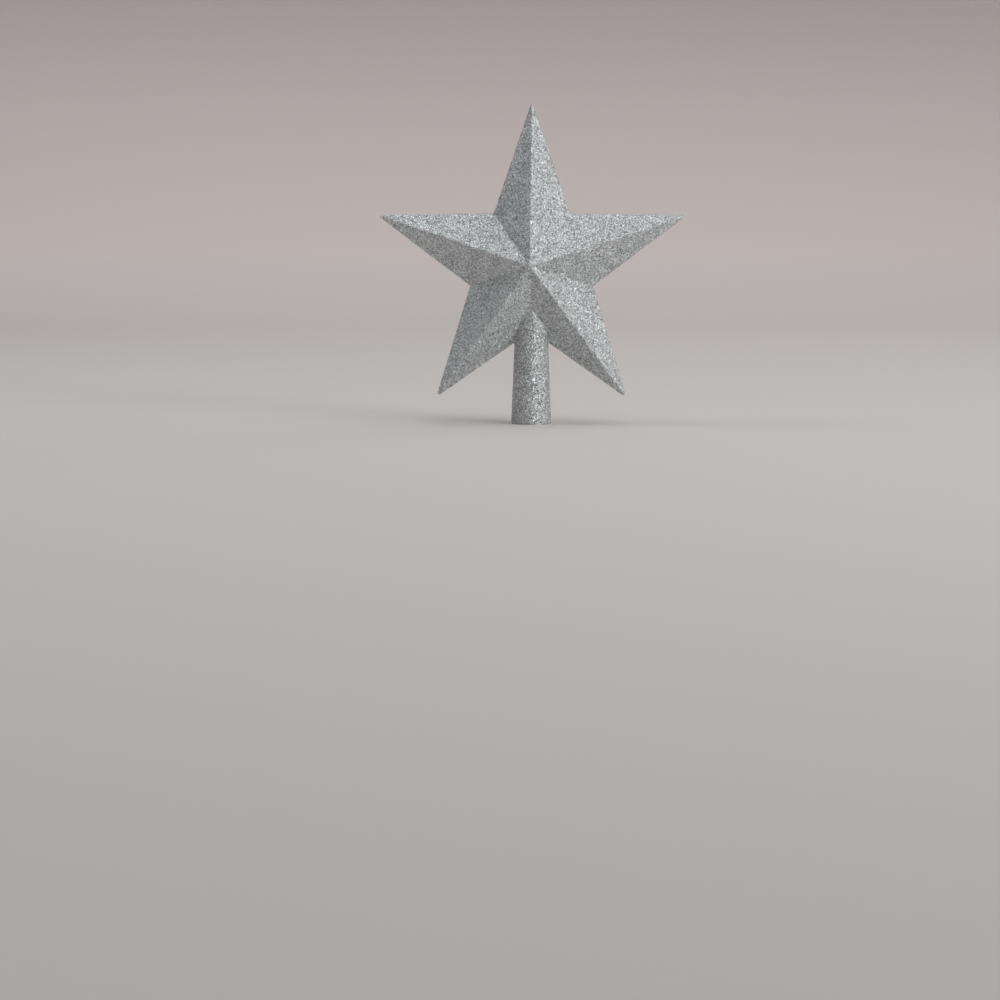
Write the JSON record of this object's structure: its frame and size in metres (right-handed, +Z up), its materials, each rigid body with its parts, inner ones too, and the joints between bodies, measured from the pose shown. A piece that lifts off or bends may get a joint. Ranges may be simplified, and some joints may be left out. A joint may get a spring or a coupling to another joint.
{
  "type": "tree topper",
  "caption": "Faceted star with raised ridges and a silver glitter coat, on a tapered tube socket that slips over the top shoot of a Christmas tree.",
  "frame": {"origin": "centre of the mouth of the socket, at the bottom of the tube", "axes": "+Z up the tube's axis and through the star's top arm, the star's front faces -Y, +X is to the right as seen from the front"},
  "size_m": [0.1904, 0.0518, 0.2],
  "materials": {
    "star_glitter": "silver glitter over silver plastic",
    "socket_glitter": "silver glitter over silver plastic"
  },
  "bodies": {
    "root": {"front_shell": "star_glitter", "rear_shell": "star_glitter", "socket_tube": "socket_glitter"}
  },
  "joints": []
}
